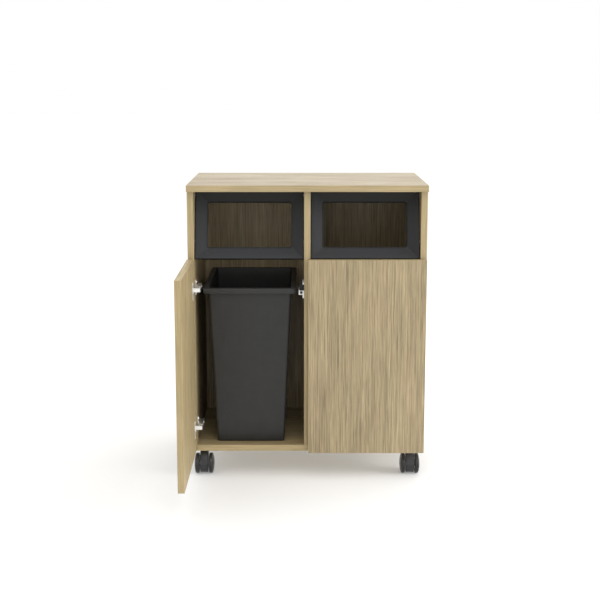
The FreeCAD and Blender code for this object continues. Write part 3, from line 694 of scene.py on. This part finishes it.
easedPieces = {
    "hinge_arms": (0.0006, 2, "cabinet", "hinge_arm_pair"),
    "hinge_plates": (0.0005, 2, "cabinet", "hinge_plate_pair"),
    "hinge_cups": (0.0004, 2, "door", "hinge_cup_pair"),
    "latch_strike": (0.0003, 2, "door", "strike_disc"),
    "latch_plate": (0.0006, 2, "cabinet", "latch_base"),
    "latch_housing": (0.0006, 2, "cabinet", "latch_case"),
    "latch_plunger": (0.0008, 3, "latch_plunger", "latch_tip"),
    "door_buffer": (0.0006, 2, "cabinet", "rubber_stop"),
}

for group, (width, segments, body, newName) in easedPieces.items():
    for hand in hands:
        nodeName = group + "_" + hand
        rider = body if body == "cabinet" else body + "_" + hand
        mesh = softened(nodeName, width, segments)
        addPiece(newName + "_" + hand, mesh, slotOf[nodeName], rider, nodeName)

for place in places:
    mesh = softened("caster_plate_" + place, 0.0005)
    addPiece("swivel_plate_" + place, mesh, "caster_plate_steel", "cabinet", "caster_plate_" + place)
    mesh = softened("caster_hood_" + place, 0.0010)
    addPiece("fork_cover_" + place, mesh, "caster_grey", "caster_swivel_" + place, "caster_hood_" + place)
print("hinges, latches and caster covers built")


# wheels: one turned outline swept round the axle by Geometry Nodes

wheelSizes = {
    "sweepRadius": 0.002,
    "sides": 72,
    "grooveDepth": 0.0005,
    "groovePlace": (0.20, 0.30),  # shares of the way from tread to hub
    "hubRadius": 0.009,
    "treadWidth": 0.0105,
    "treadRound": 0.0018,
    "treadSteps": 6,
    "domeSteps": 12,
    "domeFullness": 0.72,
    # distance from the axis and depth along it, from the centre out over the inner face
    "innerFace": (
        (0.0, 0.0008), (0.0075, 0.0008), (0.0080, 0.0), (0.0105, 0.0),
        (0.0112, 0.0012), (0.0250, 0.0012), (0.0258, 0.0),
    ),
}


def addTreeInput(tree, name, kind, value=None):
    socket = tree.interface.new_socket(name=name, in_out="INPUT", socket_type=kind)
    if value is not None:
        socket.default_value = value
    return socket.identifier


def lathedTree():
    tree = bpy.data.node_groups.new("lathed piece", "GeometryNodeTree")
    tree.interface.new_socket(name="Geometry", in_out="OUTPUT", socket_type="NodeSocketGeometry")
    keys = {"outline": addTreeInput(tree, "Outline", "NodeSocketGeometry")}
    keys["sweep"] = addTreeInput(tree, "Sweep radius", "NodeSocketFloat", 0.002)
    keys["sides"] = addTreeInput(tree, "Sides", "NodeSocketInt", 48)
    keys["finish"] = addTreeInput(tree, "Finish", "NodeSocketMaterial")
    start = tree.nodes.new("NodeGroupInput")
    end = tree.nodes.new("NodeGroupOutput")
    toCurve = tree.nodes.new("GeometryNodeMeshToCurve")
    circle = tree.nodes.new("GeometryNodeCurvePrimitiveCircle")
    sweep = tree.nodes.new("GeometryNodeCurveToMesh")
    merge = tree.nodes.new("GeometryNodeMergeByDistance")
    merge.inputs["Distance"].default_value = 1e-6
    realize = tree.nodes.new("GeometryNodeRealizeInstances")
    finish = tree.nodes.new("GeometryNodeSetMaterial")
    link = tree.links.new
    link(start.outputs["Outline"], toCurve.inputs["Mesh"])
    link(start.outputs["Sides"], circle.inputs["Resolution"])
    link(start.outputs["Sweep radius"], circle.inputs["Radius"])
    link(circle.outputs["Curve"], sweep.inputs["Curve"])
    link(toCurve.outputs["Curve"], sweep.inputs["Profile Curve"])
    link(sweep.outputs["Mesh"], merge.inputs["Geometry"])
    link(merge.outputs["Geometry"], realize.inputs["Geometry"])
    link(realize.outputs["Geometry"], finish.inputs["Geometry"])
    link(start.outputs["Finish"], finish.inputs["Material"])
    link(finish.outputs["Geometry"], end.inputs["Geometry"])
    return tree, keys


def treeResult(holder, tree, settings):
    modifier = holder.modifiers.new("shape", "NODES")
    modifier.node_group = tree
    for key, value in settings.items():
        modifier[key] = value
    bpy.context.view_layer.update()
    depsgraph = bpy.context.evaluated_depsgraph_get()
    mesh = bpy.data.meshes.new_from_object(holder.evaluated_get(depsgraph), depsgraph=depsgraph)
    holder.modifiers.clear()
    bpy.data.objects.remove(holder)
    return mesh


lathe, latheKeys = lathedTree()


def lathed(name, outline, sides, slot):
    # outline holds (distance from the axis, place along it) pairs; the axis ends up along X
    sweep = wheelSizes["sweepRadius"]
    wireMesh = bpy.data.meshes.new(name + " outline")
    points = [(r - sweep, a, 0.0) for r, a in outline]
    wireMesh.from_pydata(points, [(i, i + 1) for i in range(len(points) - 1)], [])
    holder = bpy.data.objects.new(name, wireMesh)
    scene.collection.objects.link(holder)
    settings = {latheKeys["sweep"]: sweep, latheKeys["sides"]: sides, latheKeys["finish"]: finishes[slot]}
    mesh = treeResult(holder, lathe, settings)
    shape = bmesh.new()
    shape.from_mesh(mesh)
    for vert in shape.verts:
        x, y, z = vert.co
        vert.co = (-z, y, x)
    bmesh.ops.remove_doubles(shape, verts=shape.verts, dist=2e-6)
    bmesh.ops.dissolve_degenerate(shape, edges=shape.edges, dist=1e-6)
    bmesh.ops.recalc_face_normals(shape, faces=shape.faces)
    shape.to_mesh(mesh)
    shape.free()
    return mesh


def wheelOutline(width, radius):
    # from the flat inner face, over the tread, across the domed outer face to the hub cap
    size = wheelSizes
    hub = size["hubRadius"]
    groove = size["grooveDepth"]
    tread = size["treadWidth"]
    ease = size["treadRound"]
    grooveStart, grooveEnd = size["groovePlace"]
    points = list(size["innerFace"])
    for step in range(size["treadSteps"] + 1):
        angle = math.radians(90 * step / size["treadSteps"])
        points.append((radius - ease * (1 - math.sin(angle)), ease * (1 - math.cos(angle))))
    points.append((radius, tread * 0.45))
    points.append((radius - 0.00015, tread - 0.0012))
    points.append((radius - 0.0006, tread - 0.0003))
    domeRim = radius - 0.0014
    domeEnd = hub + 0.0006
    for step in range(size["domeSteps"] + 1):
        share = step / size["domeSteps"]
        bulge = math.sin(math.radians(90 * share)) ** size["domeFullness"]
        reach = tread + (width - tread) * min(1.0, bulge)
        if grooveStart < share < grooveEnd:
            reach -= groove
        points.append((domeRim + (domeEnd - domeRim) * share, min(reach, width)))
    points.append((hub + 0.0005, width - groove))
    points.append((hub - 0.0001, width - groove))
    points.append((hub - 0.0004, width - 0.0001))
    points += [(hub * 0.55, width), (hub * 0.50, width - 0.0004), (0.0, width - 0.0004)]
    return points


def placed(mesh, name, side, centre):
    copy = mesh.copy()
    copy.name = name
    for vert in copy.vertices:
        vert.co = Vector((vert.co.x * side, vert.co.y, vert.co.z)) + centre
    if side < 0:
        copy.flip_normals()
    return copy


wheelLow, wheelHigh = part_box("outer_wheel_front_right")
wheelWidth = wheelHigh.x - wheelLow.x
wheelRadius = (wheelHigh.z - wheelLow.z) / 2
wheelMesh = lathed("wheel", wheelOutline(wheelWidth, wheelRadius), wheelSizes["sides"], "wheel_grey")
for place in places:
    outward = -1 if place.endswith("left") else 1
    for kind, side in (("outer_wheel_", outward), ("inner_wheel_", -outward)):
        lowCorner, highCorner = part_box(kind + place)
        middle = (lowCorner + highCorner) / 2
        innerFace = lowCorner.x if side > 0 else highCorner.x
        mesh = placed(wheelMesh, kind + place + " turned", side, Vector((innerFace, middle.y, middle.z)))
        addPiece("turned_" + kind + place, mesh, "wheel_grey", kind + place, kind + place, sharp=28.0)
print("wheels built")


# screws: a tapered, cross-recessed head and a plain shank set on every spot by Geometry Nodes

screwSizes = {
    "headSides": 28,
    "shankSides": 14,
    "recessReach": 0.60,  # shares of the head's radius
    "recessWidth": 0.17,
    "headTop": 0.62,
    "recessDepth": 0.55,  # share of the head's height
}


def screwTree():
    tree = bpy.data.node_groups.new("screw set", "GeometryNodeTree")
    tree.interface.new_socket(name="Geometry", in_out="OUTPUT", socket_type="NodeSocketGeometry")
    keys = {"spots": addTreeInput(tree, "Spots", "NodeSocketGeometry")}
    keys["headRadius"] = addTreeInput(tree, "Head radius", "NodeSocketFloat", 0.003)
    keys["headHeight"] = addTreeInput(tree, "Head height", "NodeSocketFloat", 0.0016)
    keys["topRadius"] = addTreeInput(tree, "Top radius", "NodeSocketFloat", 0.002)
    keys["shankRadius"] = addTreeInput(tree, "Shank radius", "NodeSocketFloat", 0.0017)
    keys["shankLength"] = addTreeInput(tree, "Shank length", "NodeSocketFloat", 0.012)
    keys["recessLength"] = addTreeInput(tree, "Recess length", "NodeSocketFloat", 0.003)
    keys["recessWidth"] = addTreeInput(tree, "Recess width", "NodeSocketFloat", 0.0007)
    keys["recessDepth"] = addTreeInput(tree, "Recess depth", "NodeSocketFloat", 0.0009)
    keys["finish"] = addTreeInput(tree, "Finish", "NodeSocketMaterial")
    link = tree.links.new
    start = tree.nodes.new("NodeGroupInput")
    end = tree.nodes.new("NodeGroupOutput")

    def sizeNode(kind, sides):
        node = tree.nodes.new(kind)
        node.inputs["Vertices"].default_value = sides
        return node

    def number(operation, first, second):
        node = tree.nodes.new("ShaderNodeMath")
        node.operation = operation
        wire(tree, node.inputs[0], first)
        wire(tree, node.inputs[1], second)
        return node.outputs[0]

    def triple(x, y, z):
        node = tree.nodes.new("ShaderNodeCombineXYZ")
        for socket, value in zip(node.inputs, (x, y, z)):
            wire(tree, socket, value)
        return node.outputs[0]

    def slid(geometry, offset):
        node = tree.nodes.new("GeometryNodeTransform")
        link(geometry, node.inputs["Geometry"])
        link(offset, node.inputs["Translation"])
        return node.outputs["Geometry"]

    given = start.outputs
    head = sizeNode("GeometryNodeMeshCone", screwSizes["headSides"])
    link(given["Top radius"], head.inputs["Radius Top"])
    link(given["Head radius"], head.inputs["Radius Bottom"])
    link(given["Head height"], head.inputs["Depth"])
    cutters = tree.nodes.new("GeometryNodeJoinGeometry")
    cutZ = number("SUBTRACT", given["Head height"], given["Recess depth"])
    tall = number("MULTIPLY", given["Recess depth"], 4.0)
    lift = number("ADD", cutZ, number("MULTIPLY", tall, 0.5))
    for x, y in (("Recess length", "Recess width"), ("Recess width", "Recess length")):
        cube = tree.nodes.new("GeometryNodeMeshCube")
        link(triple(given[x], given[y], tall), cube.inputs["Size"])
        link(slid(cube.outputs["Mesh"], triple(0.0, 0.0, lift)), cutters.inputs["Geometry"])
    carved = tree.nodes.new("GeometryNodeMeshBoolean")
    carved.operation = "DIFFERENCE"
    link(head.outputs["Mesh"], carved.inputs["Mesh 1"])
    link(cutters.outputs["Geometry"], carved.inputs["Mesh 2"])
    shank = sizeNode("GeometryNodeMeshCylinder", screwSizes["shankSides"])
    link(given["Shank radius"], shank.inputs["Radius"])
    link(given["Shank length"], shank.inputs["Depth"])
    down = number("MULTIPLY", given["Shank length"], -0.5)
    whole = tree.nodes.new("GeometryNodeJoinGeometry")
    link(carved.outputs["Mesh"], whole.inputs["Geometry"])
    link(slid(shank.outputs["Mesh"], triple(0.0, 0.0, down)), whole.inputs["Geometry"])
    aim = tree.nodes.new("GeometryNodeInputNamedAttribute")
    aim.data_type = "FLOAT_VECTOR"
    aim.inputs["Name"].default_value = "aim"
    spin = tree.nodes.new("FunctionNodeAlignRotationToVector")
    spin.axis = "Z"
    link(aim.outputs["Attribute"], spin.inputs["Vector"])
    scatter = tree.nodes.new("GeometryNodeInstanceOnPoints")
    link(given["Spots"], scatter.inputs["Points"])
    link(whole.outputs["Geometry"], scatter.inputs["Instance"])
    link(spin.outputs["Rotation"], scatter.inputs["Rotation"])
    realize = tree.nodes.new("GeometryNodeRealizeInstances")
    finish = tree.nodes.new("GeometryNodeSetMaterial")
    link(scatter.outputs["Instances"], realize.inputs["Geometry"])
    link(realize.outputs["Geometry"], finish.inputs["Geometry"])
    link(given["Finish"], finish.inputs["Material"])
    link(finish.outputs["Geometry"], end.inputs["Geometry"])
    return tree, keys


screws, screwKeys = screwTree()


def screwSpots(nodeName):
    # reads where each screw of a node sits: head base, pointing direction and sizes
    shape = bmesh.new()
    shape.from_mesh(nodes[nodeName].data)
    bmesh.ops.remove_doubles(shape, verts=shape.verts, dist=2e-6)
    left = set(shape.verts)
    found = []
    while left:
        seed = min(left, key=lambda v: tuple(round(c, 6) for c in v.co))
        island = {seed}
        queue = [seed]
        while queue:
            for edge in queue.pop().link_edges:
                for vert in edge.verts:
                    if vert not in island:
                        island.add(vert)
                        queue.append(vert)
        left -= island
        points = [v.co.copy() for v in island]
        low = Vector([min(p[i] for p in points) for i in range(3)])
        high = Vector([max(p[i] for p in points) for i in range(3)])
        axis = max(range(3), key=lambda i: high[i] - low[i])
        centre = (low + high) / 2
        spread = max(high[i] - low[i] for i in range(3) if i != axis) / 2
        wide = []
        radii = []
        for p in points:
            away = p - centre
            along = away[axis]
            away[axis] = 0.0
            radii.append(away.length)
            if away.length > spread * 0.96:
                wide.append(along)
        half = (high[axis] - low[axis]) / 2
        sign = 1 if sum(wide) > 0 else -1
        base = min(wide, key=lambda a: a * sign)
        sunk = half - abs(base) < 0.0001  # a countersunk head ends flush
        if sunk:
            base -= sign * (spread - min(radii))
        aim = Vector((0.0, 0.0, 0.0))
        aim[axis] = sign
        spot = centre.copy()
        spot[axis] += base
        found.append({
            "spot": spot, "aim": aim, "headRadius": spread, "headHeight": half - base * sign,
            "shankRadius": min(radii), "shankLength": half + base * sign, "sunk": sunk,
        })
    shape.free()
    return found


def screwMesh(name, found, slot):
    first = found[0]
    size = screwSizes
    spots = bpy.data.meshes.new(name + " spots")
    spots.from_pydata([f["spot"] for f in found], [], [])
    spots.attributes.new("aim", "FLOAT_VECTOR", "POINT")
    for row, f in zip(spots.attributes["aim"].data, found):
        row.vector = f["aim"]
    holder = bpy.data.objects.new(name, spots)
    scene.collection.objects.link(holder)
    radius = first["headRadius"]
    settings = {
        screwKeys["headRadius"]: first["shankRadius"] if first["sunk"] else radius,
        screwKeys["headHeight"]: first["headHeight"],
        screwKeys["topRadius"]: radius if first["sunk"] else radius * size["headTop"],
        screwKeys["shankRadius"]: first["shankRadius"],
        screwKeys["shankLength"]: first["shankLength"],
        screwKeys["recessLength"]: radius * size["recessReach"] * 2,
        screwKeys["recessWidth"]: radius * size["recessWidth"] * 2,
        screwKeys["recessDepth"]: first["headHeight"] * size["recessDepth"],
        screwKeys["finish"]: finishes[slot],
    }
    return treeResult(holder, screws, settings)


screwNodes = {
    "caster_screws": "cabinet",
    "hinge_screws": "cabinet",
    "latch_screws": "cabinet",
    "back_screws": "cabinet",
    "hinge_cup_screws_left": "door_left",
    "hinge_cup_screws_right": "door_right",
}
for nodeName, body in screwNodes.items():
    sizesSeen = {}
    for entry in screwSpots(nodeName):
        key = round(entry["headRadius"], 4)
        sizesSeen.setdefault(key, []).append(entry)
    for number, key in enumerate(sorted(sizesSeen)):
        mesh = screwMesh(nodeName, sizesSeen[key], slotOf[nodeName])
        name = "cross_" + nodeName + ("" if number == 0 else "_large")
        addPiece(name, mesh, slotOf[nodeName], body, nodeName)
        print(name, len(sizesSeen[key]), "screws")
pegs = softened("hopper_frame_pins", 0.0005)
addPiece("frame_pegs", pegs, "pin_steel", "cabinet", "hopper_frame_pins")
print("screws and pins built")


# floor, light and camera

studio = {
    "floorSize": 30.0,
    "floorDark": (0.72, 0.72, 0.715),
    "floorLight": (0.735, 0.735, 0.73),
    "glowColour": (1.0, 0.995, 0.985, 1.0),
    # the floor glow is painted light, weaker near the middle and stronger far off
    "floorGlowNear": 0.215,
    "floorGlowFar": 0.31,
    "floorGlowReach": (0.9, 2.6),  # metres from the middle
    "worldLight": 1.0,
}

# power, width of the disc, place and the spot it points at
softboxes = {
    "overhead softbox": (26.0, 3.2, (0.1, 0.9, 3.4), (0.0, 0.0, 0.3)),
    "side softbox": (78.0, 2.0, (3.4, -0.7, 1.2), (-0.3, -0.2, 0.4)),
    "front softbox": (10.0, 1.4, (0.3, -1.9, 2.5), (0.1, 0.0, 0.8)),
    "back softbox": (12.0, 3.0, (0.4, 3.6, 2.1), (0.0, 0.0, 0.7)),
}


def floorMaterial():
    material, tree, shader = startMaterial("pale studio floor")
    spot = objectSpot(tree)
    soft = noise(tree, spot, 2.5, 3.0)
    colour = mixColour(tree, remap(tree, soft, 0.3, 0.7), studio["floorDark"], studio["floorLight"])
    wire(tree, shader.inputs["Base Color"], colour)
    wire(tree, shader.inputs["Roughness"], remap(tree, noise(tree, spot, 40.0), 0.3, 0.7, 0.82, 0.92))
    shader.inputs["Specular IOR Level"].default_value = 0.1
    # painted light: the floor glows though it is no lamp, less near the middle so the shade round the
    # cabinet stays darker, and more far off
    shader.inputs["Emission Color"].default_value = studio["glowColour"]
    away = tree.nodes.new("ShaderNodeVectorMath")
    away.operation = "LENGTH"
    wire(tree, away.inputs[0], spot)
    near, far = studio["floorGlowReach"]
    glow = remap(tree, away.outputs["Value"], near, far, studio["floorGlowNear"], studio["floorGlowFar"])
    wire(tree, shader.inputs["Emission Strength"], glow)
    return material


def floorPiece():
    shape = bmesh.new()
    bmesh.ops.create_grid(shape, x_segments=12, y_segments=12, size=studio["floorSize"])
    mesh = bpy.data.meshes.new("studio floor")
    shape.to_mesh(mesh)
    shape.free()
    mesh.materials.append(floorMaterial())
    floor = bpy.data.objects.new("studio_floor", mesh)
    scene.collection.objects.link(floor)


def areaLight(name, power, size, place, target):
    lamp = bpy.data.lights.new(name, "AREA")
    lamp.shape = "DISK"
    lamp.size = size
    lamp.energy = power
    lightObject = bpy.data.objects.new(name, lamp)
    lightObject.location = place
    lightObject.rotation_euler = (Vector(target) - Vector(place)).to_track_quat("-Z", "Y").to_euler()
    scene.collection.objects.link(lightObject)


floorPiece()
world = bpy.data.worlds.new("white tent")
world.use_nodes = True
backdrop = world.node_tree.nodes["Background"]
backdrop.inputs["Color"].default_value = (1.0, 1.0, 1.0, 1.0)
backdrop.inputs["Strength"].default_value = studio["worldLight"]
scene.world = world
for boxName, (power, width, place, target) in softboxes.items():
    areaLight(boxName, power, width, place, target)
scene.view_settings.view_transform = "Standard"

cameraSizes = {
    "x": -0.0216,
    "y": -3.3279,
    "z": 1.2228,
    "pitch": 9.759,
    "lens": 67.557,
    "shift": -0.055,
}
cameraData = bpy.data.cameras.new("front view")
cameraData.sensor_width = 36.0
cameraData.lens = cameraSizes["lens"]
cameraData.shift_y = cameraSizes["shift"]
camera = bpy.data.objects.new("front view", cameraData)
camera.location = (cameraSizes["x"], cameraSizes["y"], cameraSizes["z"])
camera.rotation_euler = (math.radians(90 - cameraSizes["pitch"]), 0.0, 0.0)
scene.collection.objects.link(camera)
scene.camera = camera
print("studio set")
